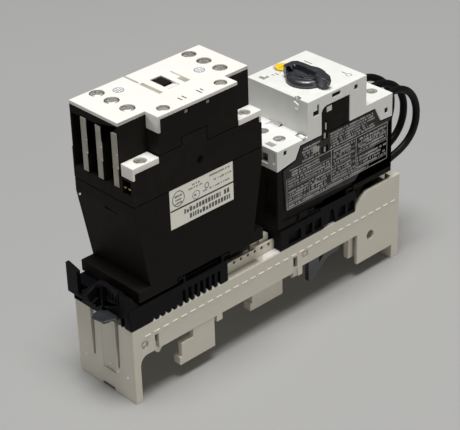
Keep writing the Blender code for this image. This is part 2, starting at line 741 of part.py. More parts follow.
def clamp_row(name, finish, head_x, shank, strip_x, shoulder, more=()):
    """Three clamp screws of one end, captive in the strip that carries their clamps."""
    bottom, top = CLAMP_STRIP_Z
    shank_x, shank_radius = shank
    shapes = [box(strip_x - 4, strip_x + 4, -16.5, 16.5, bottom, top), *more]
    slots = []
    for y in BREAKER_POLES_Y:
        shapes.append(disc(shank_x, y, shank_radius, bottom, shoulder - 3, 10))
        shapes.append(disc(head_x, y, 2.95, shoulder - 3.5, shoulder - 1, 16))
        slots.append(box(head_x - 2.4, head_x + 2.4, y - 0.4, y + 0.4, shoulder - 1.8, shoulder))
    build(name, finish, shapes, slots)


def breaker_terminals(finish):
    """Both rows; the load side also carries the contacts that the rotor's near arms come up to."""
    contact_bottom = ROTOR[1] + BRIDGE_HALF + GAP
    contacts = [
        box(111, 114.5, y - 2, y + 2, contact_bottom, CLAMP_STRIP_Z[0] + 0.5) for y in BREAKER_POLES_Y
    ]
    clamp_row(
        "load_terminals", finish, LOAD_SCREW_X, (LOAD_SCREW_X, 1.8), LOAD_SCREW_X, NEAR_SHOULDER,
        contacts,
    )
    line_x = LINE_SCREW_X
    clamp_row("line_terminals", finish, line_x, (line_x - 2.5, 1.6), line_x - 3, FAR_SHOULDER)


def trip_units(copper):
    """Per pole: the coil, the bimetal and the contact that the rotor's far arm comes down to."""
    contact_top = ROTOR[1] - BRIDGE_HALF - GAP
    for number, y in enumerate(BREAKER_POLES_Y, 1):
        shapes = [
            rod("x", y, 78, 4.4, 146, 168, 14),
            box(150, 152, y - 2, y + 2, 80, 96),
            box(130.5, 147, y - 2, y + 2, contact_top - 2, contact_top),
        ]
        build(f"trip_unit_{number}", copper, shapes)


def breaker_contact_bar(finish):
    """A rotor across all three poles with a two-armed bridge in each, in its open position."""
    x, z = ROTOR
    rise, run = math.sin(math.radians(ROTOR_TURN)), math.cos(math.radians(ROTOR_TURN))
    ends = ((-1, -1), (1, -1), (1, 1), (-1, 1))
    bridge = []
    for side, edge in ends:
        along, across = side * BRIDGE_REACH, edge * BRIDGE_HALF
        bridge.append((x + along * run - across * rise, z + along * rise + across * run))
    shapes = [rod("y", x, z, ROTOR_RADIUS, -17.5, 17.5, 24)]
    shapes += [prism(bridge, "y", y - 2, y + 2) for y in BREAKER_POLES_Y]
    build("breaker_contact_bar", finish, shapes, pivot=(x, 0, z))


def main():
    clear_scene()
    grey = material("adapter_grey", (0.78, 0.76, 0.72), 0.5)
    black = material("housing_black", (0.035, 0.032, 0.03), 0.45)
    dark = material("carrier_black", (0.05, 0.05, 0.055), 0.4)
    cream = material("front_cream", (0.93, 0.92, 0.88), 0.45)
    steel = material("screw_steel", (0.6, 0.6, 0.58), 0.35, 1.0)
    iron = material("laminated_steel", (0.42, 0.42, 0.43), 0.45, 1.0)
    copper = material("copper", (0.85, 0.5, 0.35), 0.35, 1.0)
    paper = material("label_paper", (0.8, 0.77, 0.74), 0.6)
    plate = material("plate_black", (0.04, 0.04, 0.042), 0.4)
    yellow = material("dial_yellow", (0.95, 0.72, 0.05), 0.45)
    rubber = material("wire_black", (0.03, 0.03, 0.032), 0.5)
    amber = material("bobbin_amber", (0.75, 0.45, 0.18), 0.5)

    adapter_body(grey)
    hook_plate(grey)
    busbar_clips(copper)
    release_slide(dark)
    contactor_carrier(dark)
    breaker_carrier(dark)
    supply_wires(rubber)

    contactor_base(black)
    contactor_housing(black)
    aux_contact_block(black)
    contactor_front(cream)
    coil_covers(cream)
    contactor_screws(steel)
    power_contacts(copper)
    contact_carrier(dark)
    magnet(iron)
    coil(amber, copper)
    return_springs(steel)
    rail_latch("contactor_rail_latch", dark, CONTACTOR_RAIL + RAIL_WIDTH, 95)
    labels(paper, plate)

    breaker_base(black)
    breaker_cover(grey)
    trip_mechanism(black)
    rotary_handle(dark)
    padlock_slide(steel)
    setting_dial(yellow)
    test_plunger(cream)
    breaker_terminals(steel)
    trip_units(copper)
    breaker_contact_bar(amber)
    rail_latch("breaker_rail_latch", dark, BREAKER_RAIL + RAIL_WIDTH, 195)


main()
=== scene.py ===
"""Looks of a contactor and a motor-protective breaker that share one busbar adapter."""

import json
import math

import bmesh
import bpy
from mathutils import Matrix, Vector

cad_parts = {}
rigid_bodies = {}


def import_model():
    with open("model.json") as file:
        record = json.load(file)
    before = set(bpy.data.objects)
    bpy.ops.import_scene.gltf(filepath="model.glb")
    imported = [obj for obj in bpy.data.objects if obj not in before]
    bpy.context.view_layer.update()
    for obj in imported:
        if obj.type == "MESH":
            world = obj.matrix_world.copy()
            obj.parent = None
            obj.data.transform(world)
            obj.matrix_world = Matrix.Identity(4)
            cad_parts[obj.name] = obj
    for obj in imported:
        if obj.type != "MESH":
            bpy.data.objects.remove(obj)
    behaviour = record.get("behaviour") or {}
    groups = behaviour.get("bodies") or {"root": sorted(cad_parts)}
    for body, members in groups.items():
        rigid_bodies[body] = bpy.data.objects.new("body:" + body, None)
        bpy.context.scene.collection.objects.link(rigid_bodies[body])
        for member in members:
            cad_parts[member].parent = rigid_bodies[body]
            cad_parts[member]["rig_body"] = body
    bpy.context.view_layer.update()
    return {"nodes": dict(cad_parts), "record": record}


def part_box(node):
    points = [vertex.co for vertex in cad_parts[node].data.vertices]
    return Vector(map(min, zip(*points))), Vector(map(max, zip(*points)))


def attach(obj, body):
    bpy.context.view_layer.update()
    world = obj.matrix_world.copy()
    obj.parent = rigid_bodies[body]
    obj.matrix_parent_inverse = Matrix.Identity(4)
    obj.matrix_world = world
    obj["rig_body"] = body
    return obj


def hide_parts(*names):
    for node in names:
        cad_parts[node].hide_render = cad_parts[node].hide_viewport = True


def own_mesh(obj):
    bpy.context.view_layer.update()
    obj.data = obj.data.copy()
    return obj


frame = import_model()
scene = bpy.context.scene
nodes = frame["nodes"]
SLOTS = {part["node"]: part["material_slot"] for part in frame["record"]["subparts"]}

# Sizes below are in millimetres, with x counted from the adapter's near end.
MM = 0.001
START_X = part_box("adapter_body")[0].x
SIDE = -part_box("contactor_housing")[0].y / MM  # half of the 45 mm width


def at(x, y, z):
    return Vector((START_X + x * MM, y * MM, z * MM))


def span(name):
    """A CAD node's box as x0, x1, y0, y1, z0, z1."""
    low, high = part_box(name)
    return (
        (low.x - START_X) / MM, (high.x - START_X) / MM,
        low.y / MM, high.y / MM,
        low.z / MM, high.z / MM,
    )


# Camera, floor and light

CAMERA_AT = Vector((-0.51609, -0.55287, 0.51220))
CAMERA_TARGET = Vector((-0.01086, -0.00629, 0.070))
CAMERA_ROLL = math.radians(-1.836)
CAMERA_LENS = 129.258


def make_camera():
    data = bpy.data.cameras.new("camera")
    data.lens = CAMERA_LENS
    data.sensor_width = 36.0
    data.clip_start = 0.05
    data.clip_end = 20.0
    camera = bpy.data.objects.new("camera", data)
    scene.collection.objects.link(camera)
    ahead = (CAMERA_TARGET - CAMERA_AT).normalized()
    level = ahead.cross(Vector((0, 0, 1))).normalized()
    above = level.cross(ahead)
    right = level * math.cos(CAMERA_ROLL) + above * math.sin(CAMERA_ROLL)
    up = above * math.cos(CAMERA_ROLL) - level * math.sin(CAMERA_ROLL)
    turn = Matrix((right, up, -ahead)).transposed()
    camera.matrix_world = Matrix.Translation(CAMERA_AT) @ turn.to_4x4()
    scene.camera = camera


def area_light(name, place, target, size, power, colour):
    data = bpy.data.lights.new(name, "AREA")
    data.shape = "DISK"
    data.size = size
    data.energy = power
    data.color = colour
    lamp = bpy.data.objects.new(name, data)
    lamp.location = place
    lamp.rotation_euler = (Vector(target) - Vector(place)).to_track_quat("-Z", "Y").to_euler()
    scene.collection.objects.link(lamp)


FLOOR_REACH = 5.0
FLOOR_GREY = (0.42, 0.42, 0.415, 1)
SKY_COLOUR = (1.0, 0.965, 0.90, 1)


def make_floor():
    far, near = FLOOR_REACH, -FLOOR_REACH
    data = bpy.data.meshes.new("floor")
    corners = [(near, near, 0), (far, near, 0), (far, far, 0), (near, far, 0)]
    data.from_pydata(corners, [], [(0, 1, 2, 3)])
    floor = bpy.data.objects.new("floor", data)
    scene.collection.objects.link(floor)
    finish = bpy.data.materials.new("floor")
    finish.use_nodes = True
    shader = finish.node_tree.nodes["Principled BSDF"]
    shader.inputs["Base Color"].default_value = FLOOR_GREY
    shader.inputs["Roughness"].default_value = 0.9
    shader.inputs["Specular IOR Level"].default_value = 0.1
    data.materials.append(finish)


def make_light():
    """A dim even sky, one large lamp overhead, and a weak one at the near side and at the near end."""
    world = bpy.data.worlds.new("studio")
    world.use_nodes = True
    sky = world.node_tree.nodes["Background"]
    sky.inputs["Color"].default_value = SKY_COLOUR
    sky.inputs["Strength"].default_value = 0.10
    scene.world = world
    area_light("overhead", (-0.12, -0.14, 2.2), (0, 0, 0), 1.05, 48.5, (1.0, 0.997, 0.99))
    area_light("front_fill", (0.35, -2.1, 0.42), (0, 0, 0.06), 0.7, 6.4, (1.0, 0.965, 0.91))
    area_light("end_fill", (-1.9, -0.1, 0.45), (0, 0, 0.06), 0.6, 1.9, (0.95, 0.98, 1.0))


# Finishes

def node(tree, kind, **settings):
    made = tree.nodes.new("ShaderNode" + kind)
    for key, value in settings.items():
        if hasattr(made, key):
            setattr(made, key, value)
        else:
            made.inputs[key.replace("_", " ")].default_value = value
    return made


def blank(name):
    made = bpy.data.materials.new(name)
    made.use_nodes = True
    tree = made.node_tree
    return made, tree, tree.nodes["Principled BSDF"]


def noise(tree, scale, detail=2.0, stretch=(1, 1, 1)):
    """A noise pattern fixed to the object, its scale in features per metre."""
    place = node(tree, "TexCoord")
    sized = node(tree, "Mapping")
    sized.inputs["Scale"].default_value = stretch
    tree.links.new(place.outputs["Object"], sized.inputs["Vector"])
    pattern = node(tree, "TexNoise", Scale=scale, Detail=detail)
    tree.links.new(sized.outputs["Vector"], pattern.inputs["Vector"])
    return pattern.outputs["Fac"]


def remap(tree, value, low, high, to_low, to_high):
    scaled = node(tree, "MapRange")
    limits = {"From Min": low, "From Max": high, "To Min": to_low, "To Max": to_high}
    for key, number in limits.items():
        scaled.inputs[key].default_value = number
    tree.links.new(value, scaled.inputs["Value"])
    return scaled.outputs["Result"]


def times(tree, one, other):
    made = node(tree, "Math", operation="MULTIPLY")
    tree.links.new(one, made.inputs[0])
    tree.links.new(other, made.inputs[1])
    return made.outputs[0]


def blend_colour(tree, factor, one, other):
    mix = node(tree, "Mix", data_type="RGBA")
    tree.links.new(factor, mix.inputs["Factor"])
    for socket, colour in ((mix.inputs[6], one), (mix.inputs[7], other)):
        if isinstance(colour, tuple):
            socket.default_value = (*colour, 1)
        else:
            tree.links.new(colour, socket)
    return mix.outputs[2]


def shade(colour, factor):
    return tuple(min(1.0, part * factor) for part in colour)


def bump(tree, shader, height, depth):
    """Raises the surface by a pattern, to a depth in millimetres."""
    made = node(tree, "Bump")
    made.inputs["Distance"].default_value = depth * MM
    tree.links.new(height, made.inputs["Height"])
    tree.links.new(made.outputs["Normal"], shader.inputs["Normal"])


def plastic(name, colour, roughness, edge=1.6, grain=0.02, gloss=0.5, patches=0.05):
    """Moulded plastic: spark-eroded grain, faint cloudiness, handling marks, and lighter edges, partly
    rubbed wear and partly painted highlight.
    """
    made, tree, shader = blank(name)
    cloud = remap(tree, noise(tree, 60, 3), 0.3, 0.7, 0, 1)
    base = blend_colour(tree, cloud, shade(colour, 1 - patches), shade(colour, 1 + patches * 0.6))
    # Lighter edges and corners: partly rubbed wear, partly a painted highlight where they catch the
    # light.
    edge_wear_and_highlight = node(tree, "NewGeometry").outputs["Pointiness"]
    edges = remap(tree, edge_wear_and_highlight, 0.53, 0.6, 0, 1)
    uneven = remap(tree, noise(tree, 140, 2), 0.42, 0.6, 0.15, 1)
    base = blend_colour(tree, times(tree, edges, uneven), base, shade(colour, edge))
    tree.links.new(base, shader.inputs["Base Color"])
    handled = remap(tree, noise(tree, 420, 4), 0.3, 0.7, roughness - 0.04, roughness + 0.05)
    tree.links.new(handled, shader.inputs["Roughness"])
    shader.inputs["Specular IOR Level"].default_value = gloss
    bump(tree, shader, noise(tree, 2600, 2), grain)
    return made


def metal(name, colour, roughness, tint, brushed=(1, 1, 1)):
    """Plated or bare metal: drawn or turned lines, uneven tarnish and small scratches."""
    made, tree, shader = blank(name)
    shader.inputs["Metallic"].default_value = 1.0
    tarnish = remap(tree, noise(tree, 180, 4), 0.35, 0.65, 0, 1)
    base = blend_colour(tree, tarnish, shade(colour, 0.82), tint)
    tree.links.new(base, shader.inputs["Base Color"])
    lines = noise(tree, 900, 3, brushed)
    rubbed = remap(tree, lines, 0.3, 0.7, roughness - 0.08, roughness + 0.14)
    tree.links.new(rubbed, shader.inputs["Roughness"])
    bump(tree, shader, lines, 0.015)
    return made


LAMINATION_SCALE = 500 / math.pi  # gives bands 2 mm apart


def laminated(name, colour):
    """Electrical steel sheets stacked across the magnet, seen as fine dark lines."""
    made, tree, shader = blank(name)
    shader.inputs["Metallic"].default_value = 1.0
    place = node(tree, "TexCoord")
    sheets = node(tree, "TexWave", bands_direction="Y", Scale=LAMINATION_SCALE)
    tree.links.new(place.outputs["Object"], sheets.inputs["Vector"])
    edges = remap(tree, sheets.outputs["Fac"], 0.0, 0.25, 0, 1)
    base = blend_colour(tree, edges, shade(colour, 0.45), colour)
    tree.links.new(base, shader.inputs["Base Color"])
    tree.links.new(remap(tree, noise(tree, 500, 3), 0.3, 0.7, 0.35, 0.6), shader.inputs["Roughness"])
    bump(tree, shader, edges, 0.05)
    return made


# Colour, roughness, and what differs from plain moulded plastic
PLASTICS = {
    "adapter_grey": ((0.72, 0.682, 0.588), 0.5, {"edge": 1.03, "patches": 0.015}),
    # A pale grey: the painted highlights of the ledge teeth and the painted light of the ledge patches,
    # and the colour of the wall ribs, end pins, base nub and block tab.
    "ledge_grey": ((0.90, 0.885, 0.83), 0.5, {"edge": 1.05, "patches": 0.02}),
    "front_cream": ((0.90, 0.885, 0.84), 0.45, {"edge": 1.05, "patches": 0.02}),
    "cover_grey": ((0.85, 0.855, 0.82), 0.45, {"edge": 1.08, "patches": 0.02}),
    # A darkened cream: painted shade on the ribs' near faces and on the groove floors, and the colour
    # of the plate's pins.
    "rib_grey": ((0.37, 0.35, 0.29), 0.55, {"edge": 1.2, "patches": 0.04}),
    "shaded_grey": ((0.30, 0.29, 0.265), 0.55, {"edge": 1.2, "patches": 0.02}),
    # The padlock slide's grey is painted light: lighter than black where the slide faces the light.
    "slide_grey": ((0.12, 0.12, 0.115), 0.55, {"edge": 1.2, "patches": 0.02}),
    "housing_black": ((0.0120, 0.0100, 0.0084), 0.6, {"edge": 1.3, "gloss": 0.07, "patches": 0.02}),
    "carrier_black": ((0.0042, 0.0040, 0.0056), 0.5, {"edge": 1.3, "gloss": 0.10, "patches": 0.02}),
    "handle_black": ((0.027, 0.029, 0.034), 0.32, {"edge": 2.0, "grain": 0.012, "gloss": 0.9}),
    "wire_black": ((0.0042, 0.0046, 0.0055), 0.46, {"edge": 1.5, "grain": 0.012, "gloss": 0.16}),
    # Near-black: painted shade at the bottoms of holes, and the ink of the label's divider.
    "recess_dark": ((0.006, 0.006, 0.006), 0.6, {"edge": 1.5, "gloss": 0.1}),
    "bobbin_amber": ((0.62, 0.33, 0.10), 0.40, {"edge": 1.3}),
    "dial_yellow": ((0.95, 0.67, 0.025), 0.42, {"edge": 1.1}),
    "plate_black": ((0.010, 0.0095, 0.0095), 0.42, {"edge": 2.5, "grain": 0.008, "gloss": 0.3}),
    "label_paper": (
        (0.98, 0.96, 0.86), 0.4, {"edge": 1.0, "grain": 0.008, "gloss": 0.9, "patches": 0.02},
    ),
    "label_ink": ((0.09, 0.09, 0.088), 0.55, {"grain": 0.002}),
    "mark_blue": ((0.16, 0.20, 0.26), 0.5, {"grain": 0.002}),
    "ink_black": ((0.03, 0.03, 0.032), 0.5, {"grain": 0.002, "patches": 0.02}),
    "ink_pale": ((0.30, 0.30, 0.295), 0.5, {"grain": 0.002}),
}
# Colour, roughness, the tarnish's colour and how far the lines are drawn out
METALS = {
    "screw_steel": ((0.64, 0.63, 0.60), 0.5, (0.70, 0.68, 0.63)),
    "copper": ((0.80, 0.45, 0.31), 0.30, (0.88, 0.55, 0.40), (1, 8, 8)),
    "brass": ((0.66, 0.42, 0.12), 0.3, (0.75, 0.52, 0.20)),
}
FINISHES = {"laminated_steel": laminated("laminated_steel", (0.45, 0.45, 0.46))}
for name, (colour, roughness, extra) in PLASTICS.items():
    FINISHES[name] = plastic(name, colour, roughness, **extra)
for name, settings in METALS.items():
    FINISHES[name] = metal(name, *settings)


# Mesh work

def prism(outline, axis, start, end):
    """Runs an outline along an axis. The outline is in the other two axes, in x, y, z order."""
    place = {
        "x": lambda a, b, t: (t, a, b),
        "y": lambda a, b, t: (a, t, b),
        "z": lambda a, b, t: (a, b, t),
    }[axis]
    count = len(outline)
    points = [place(a, b, t) for t in (start, end) for a, b in outline]
    faces = [tuple(range(count)), tuple(range(count, 2 * count))]
    faces += [(i, (i + 1) % count, (i + 1) % count + count, i + count) for i in range(count)]
    return points, faces


def box(x0, x1, y0, y1, z0, z1):
    return prism([(x0, y0), (x1, y0), (x1, y1), (x0, y1)], "z", z0, z1)


def circle(a, b, radius, sides):
    step = 2 * math.pi / sides
    return [(a + radius * math.cos(i * step), b + radius * math.sin(i * step)) for i in range(sides)]


def arc(start, end, count):
    """Angles in radians, from start to end in degrees, in equal steps."""
    return [math.radians(start + (end - start) * i / count) for i in range(count + 1)]


def moved(outline, a, b):
    return [(one + a, other + b) for one, other in outline]


def rod(axis, a, b, radius, start, end, sides=24):
    """A round bar along an axis, its centre given in the other two axes."""
    return prism(circle(a, b, radius, sides), axis, start, end)


def lathe(x, y, profile, sides=40):
    """Turns a profile of (radius, z), from top centre to bottom centre, about a vertical axis."""
    inner = profile[1:-1]
    points = [(x, y, profile[0][1]), (x, y, profile[-1][1])]
    for radius, z in inner:
        points += [(a, b, z) for a, b in circle(x, y, radius, sides)]

    def ring(row, i):
        return 2 + row * sides + i % sides

    faces = []
    for i in range(sides):
        faces.append((0, ring(0, i), ring(0, i + 1)))
        faces.append((1, ring(len(inner) - 1, i + 1), ring(len(inner) - 1, i)))
        for row in range(len(inner) - 1):
            faces.append((ring(row, i), ring(row + 1, i), ring(row + 1, i + 1), ring(row, i + 1)))
    return points, faces


def mirrored(shape):
    """The same shape on the other long side."""
    points, faces = shape
    return [(x, -y, z) for x, y, z in points], faces


def both_sides(*shapes):
    return [side for shape in shapes for side in (shape, mirrored(shape))]


def mesh_of(shapes, name):
    """One mesh of one or more separate closed shapes."""
    mesh = bpy.data.meshes.new(name)
    shell = bmesh.new()
    for points, faces in shapes:
        corners = [shell.verts.new(at(*point)) for point in points]
        for face in faces:
            shell.faces.new([corners[i] for i in face])
    bmesh.ops.recalc_face_normals(shell, faces=shell.faces)
    shell.to_mesh(mesh)
    shell.free()
    return mesh


def add_object(name, data):
    made = bpy.data.objects.new(name, data)
    scene.collection.objects.link(made)
    return made


def carve(target, shape, operation):
    """Adds, cuts away or keeps the inside of a shape, for good."""
    other = add_object("other", mesh_of([shape], "other"))
    change = target.modifiers.new("change", "BOOLEAN")
    change.operation = operation
    change.solver = "EXACT"
    change.object = other
    bpy.context.view_layer.update()
    graph = bpy.context.evaluated_depsgraph_get()
    result = bpy.data.meshes.new_from_object(target.evaluated_get(graph))
    target.modifiers.remove(change)
    old = target.data
    target.data = result
    bpy.data.meshes.remove(old)
    bpy.data.objects.remove(other, do_unlink=True)


def ring_faces(count):
    """Faces of a flat ring: its points are low outer, low inner, high outer and high inner circles."""
    low_out, low_in, high_out, high_in = (k * count for k in range(4))
    faces = []
    for i in range(count):
        j = (i + 1) % count
        faces += [
            (low_out + i, low_out + j, low_in + j, low_in + i),
            (high_out + i, high_in + i, high_in + j, high_out + j),
            (low_out + i, high_out + i, high_out + j, low_out + j),
            (low_in + i, low_in + j, high_in + j, high_in + i),
        ]
    return faces


SAME_CORNER = 0.002  # corners closer than this are joined
FLAT_ANGLE = math.radians(0.6)
SHORT_EDGE = 0.9  # shorter edges stay sharp, so curved walls aren't rounded twice


def merge_flats(shell, flats=True):
    """Joins doubled corners and, where asked, the pieces of each flat face."""
    bmesh.ops.remove_doubles(shell, verts=shell.verts, dist=SAME_CORNER * MM)
    if flats:
        bmesh.ops.dissolve_limit(
            shell, angle_limit=FLAT_ANGLE, verts=shell.verts, edges=shell.edges
        )


def soften(made, width, segments=2, limit=32, above=-1.0, keep_z=(0.0, 0.0), merge=True):
    """Rounds edges sharper than limit degrees, except below a height or inside a band of heights."""
    low, high = keep_z[0] * MM, keep_z[1] * MM
    shell = bmesh.new()
    shell.from_mesh(made.data)
    merge_flats(shell, merge)
    if width:
        sharp = [
            edge for edge in shell.edges
            if len(edge.link_faces) == 2
            and edge.calc_length() > SHORT_EDGE * MM
            and min(corner.co.z for corner in edge.verts) > above * MM
            and not all(low < corner.co.z < high for corner in edge.verts)
            and edge.calc_face_angle(0) > math.radians(limit)
        ]
        bmesh.ops.bevel(
            shell, geom=sharp, offset=width * MM, offset_type="OFFSET", segments=segments,
            profile=0.5, affect="EDGES", clamp_overlap=False,
        )
    bmesh.ops.recalc_face_normals(shell, faces=shell.faces)
    shell.to_mesh(made.data)
    shell.free()
    made.data.shade_smooth()
    made.data.set_sharp_from_angle(angle=math.radians(50))
    even = made.modifiers.new("even_normals", "WEIGHTED_NORMAL")
    even.keep_sharp = True
    even.weight = 80


def dress(made, finish):
    """Gives a piece its finish."""
    made.data.materials.clear()
    made.data.materials.append(FINISHES[finish])


def piece(name, finish, shapes, cuts=(), slot=None, body="starter", stands_for=(), **rounding):
    """A new piece: the first shapes joined, less the cuts, with its edges rounded."""
    made = add_object(name, mesh_of(shapes[:1], name))
    for shape in shapes[1:]:
        carve(made, shape, "UNION")
    for shape in cuts:
        carve(made, shape, "DIFFERENCE")
    soften(made, **rounding)
    dress(made, finish)
    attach(made, body)
    if stands_for:
        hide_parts(*stands_for)
    return made


def loose_piece(name, finish, shapes, width=0.0, body="starter"):
    """A new piece of several separate solids."""
    made = add_object(name, mesh_of(shapes, name))
    soften(made, width)
    dress(made, finish)
    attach(made, body)
    return made


def refine(name, finish=None, cuts=(), adds=(), merge=True, **rounding):
    """A CAD node's own shape with more detail and rounded edges, standing for that node."""
    source = nodes[name]
    made = add_object(name + "_fine", source.data.copy())
    shell = bmesh.new()
    shell.from_mesh(made.data)
    merge_flats(shell, merge)
    shell.to_mesh(made.data)
    shell.free()
    for shape in adds:
        carve(made, shape, "UNION")
    for shape in cuts:
        carve(made, shape, "DIFFERENCE")
    soften(made, merge=merge, **rounding)
    dress(made, finish or SLOTS[name])
    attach(made, source["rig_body"])
    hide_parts(name)
    return made


# Printing: ink a few hundredths of a millimetre proud of a face

INK_SUNK = 0.02
INK_PROUD = 0.03


def printed(name, finish, shapes):
    made = add_object(name, mesh_of(shapes, name))
    dress(made, finish)
    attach(made, "starter")
    return made


def top_mark(x0, x1, y0, y1, top):
    """A rectangle of ink on a face that looks up."""
    return box(x0, x1, y0, y1, top - INK_SUNK, top + INK_PROUD)


def top_ring(x, y, radius, thick, top, count=28):
    points = [
        (x + (radius - inset) * math.cos(a), y + (radius - inset) * math.sin(a), z)
        for z in (top - INK_SUNK, top + INK_PROUD)
        for inset in (0, thick)
        for a in arc(0, 360, count)[:-1]
    ]
    return points, ring_faces(count)


def patch(x0, x1, z0, z1, face):
    """A rectangle of ink on a face that looks along -Y."""
    return box(x0, x1, face - INK_PROUD, face + INK_SUNK, z0, z1)


def oval(x, z, rx, rz, thick, face, count=36):
    points = [
        (x + (rx - inset) * math.cos(a), y, z + (rz - inset) * math.sin(a))
        for y in (face - INK_PROUD, face + INK_SUNK)
        for inset in (0, thick)
        for a in arc(0, 360, count)[:-1]
    ]
    return points, ring_faces(count)


def word_row(x0, x1, z, height, face, seed):
    """A row of strokes of uneven width that reads as small print from afar and spells nothing."""
    made = []
    x, step = x0, seed
    while x < x1:
        step = (step * 37 + 11) % 101
        width = height * (0.28 + 0.004 * step)
        if step % 6:
            top = z + height * (1.0 if step % 3 else 0.72)
            made.append(patch(x, min(x + width, x1), z, top, face))
        x += width + height * 0.22
    return made


# Adapter

OUTSIDE = -SIDE - 1  # clear of the near side, where a cut starts
STAMPED_CIRCLES = ((7.6, 33.6), (123.2, 35.2))  # x, z
GUIDE_HOLES = [(75.5 + 5.07 * i, 49.0) for i in range(7)]  # x, z
WALL_LINE_Z = 38.2  # the row of short ribs along both side walls
RIB_LENGTH = 3.7
RIB_PITCH = 6.15
HIGHLIGHT_PITCH = 4.05
NOTCH = [(113.7, 22), (117.6, 22), (117.6, 27.5), (116.6, 29.6), (113.7, 29.6)]  # x, z
WALL_SLOTS = (  # near the stamped circle, above the notch, and the hollow that narrows the leg
    (14.5, 17, OUTSIDE, -SIDE + 3, 26, 29),
    (114.1, 117.3, OUTSIDE, -SIDE + 3, 29.6, 36.5),
    (161.4, 168.1, -15.4, -12.7, 12.7, 27.9),
)
LEG_BEVEL = [(165.0, 27.9), (168.2, 27.9), (168.2, 17.5)]  # x, z
END_SLOTS = (  # y, z
    [(8.9, 15.8), (8.0, 30), (7.9, 46), (10.7, 46), (10.5, 30), (9.9, 15.8)],
    [(-9.2, 16.4), (-8.7, 30), (-8.6, 44.5), (-11.4, 44.5), (-11.3, 30), (-10.4, 16.4)],
)
WALL_LUG = [(15.8, 30.5), (20.6, 30.5), (20.6, 24.6), (18.8, 22.4), (16.8, 23.0), (15.8, 25.5)]
# Outline of the painted patch of light on each ledge.
LEDGE_LIT_PATCH = [(92.0, -21.6), (108.2, -21.6), (108.2, -17.7), (96.0, -17.7)]  # x, y


def adapter_body():
    """The long body with its stamped circles, guide holes, slots and narrowed leg."""
    cuts = [
        *both_sides(*(rod("y", x, z, 2.4, OUTSIDE, -SIDE + 1.3) for x, z in STAMPED_CIRCLES)),
        *both_sides(*(rod("y", x, z, 1.0, -18, -16.4, 14) for x, z in GUIDE_HOLES)),
        prism(NOTCH, "y", OUTSIDE, -SIDE + 0.8),
        *(hole for slot in WALL_SLOTS for hole in both_sides(box(*slot))),
        *both_sides(prism(LEG_BEVEL, "y", -19.1, -15.2)),
        *(prism(slot, "x", -1, 5) for slot in END_SLOTS),
    ]
    rounded_corner = [
        (4.2, 20.5),
        *((9.3 - 5 * math.cos(a), 22.1 + 5 * math.sin(a)) for a in (0.0, 0.4, 0.8, 1.2, math.pi / 2)),
        (9.3, 28),
        (4.2, 28),
    ]
    adds = both_sides(prism(rounded_corner, "y", -SIDE, -SIDE + 2))
    refine("adapter_body", cuts=cuts, adds=adds, width=0.25, keep_z=(20, 36.6))
    refine("hook_plate", width=0.4)


def wall_details():
    """What is moulded on the body's side walls, ribs, lugs and pins, and painted shade in its guide
    holes.
    """
    shades = both_sides(*(rod("y", x, z, 0.9, -16.75, -16.3, 14) for x, z in GUIDE_HOLES))
    loose_piece("guide_hole_shade", "recess_dark", shades)
    rib = [
        (-SIDE + 0.3, WALL_LINE_Z - 0.45), (-SIDE - 0.3, WALL_LINE_Z - 0.2),
        (-SIDE - 0.3, WALL_LINE_Z + 0.2), (-SIDE + 0.3, WALL_LINE_Z + 0.45),
    ]
    x0, x1, *_ = span("adapter_body")
    ribs = []
    x = x0 + 8.0
    while x < x1 - 4:
        ribs += both_sides(prism(rib, "x", x, x + RIB_LENGTH))
        x += RIB_PITCH
    loose_piece("wall_ribs", "ledge_grey", ribs)
    lugs = both_sides(prism(WALL_LUG, "y", -20.3, -17.5))
    loose_piece("wall_lugs", "adapter_grey", lugs, 0.3)
    pins = [rod("y", x, z, 1.25, -SIDE + 0.3, -SIDE + 1.6, 20) for x, z in STAMPED_CIRCLES]
    loose_piece("wall_pins", "adapter_grey", both_sides(*pins), 0.2)


def ledge_details():
    """Painted highlights as pale teeth and painted light as pale patches on the ledges beside the
    rails, and the moulding pins on the near end.
    """
    # Painted highlights: pale triangles where light comes through the notches onto the ledges.
    highlights = []
    for number in range(12):
        x = 14 + HIGHLIGHT_PITCH * number
        highlight = [(x + 0.15, 44.4), (x + 1.0, 46.1), (x + 1.85, 44.4)]
        highlights.append(prism(highlight, "y", -SIDE + 0.1, -SIDE + 1.6))
    loose_piece("ledge_painted_highlights", "ledge_grey", both_sides(*highlights))
    # Painted light: a pale patch on each ledge where light falls.
    lit_patches = both_sides(prism(LEDGE_LIT_PATCH, "z", 44.3, 45.0))
    loose_piece("ledge_painted_light", "ledge_grey", lit_patches, 0.1)
    pin_places = ((16.1, 13.0), (-9.6, 14.6), (-16.7, 13.8))
    pins = [rod("x", y, z, 0.75, -0.35, 1.0, 16) for y, z in pin_places]
    pins.append(rod("x", -2.2, 15.8, 0.75, 0.6, 1.6, 16))
    loose_piece("end_pins", "ledge_grey", pins, 0.2)


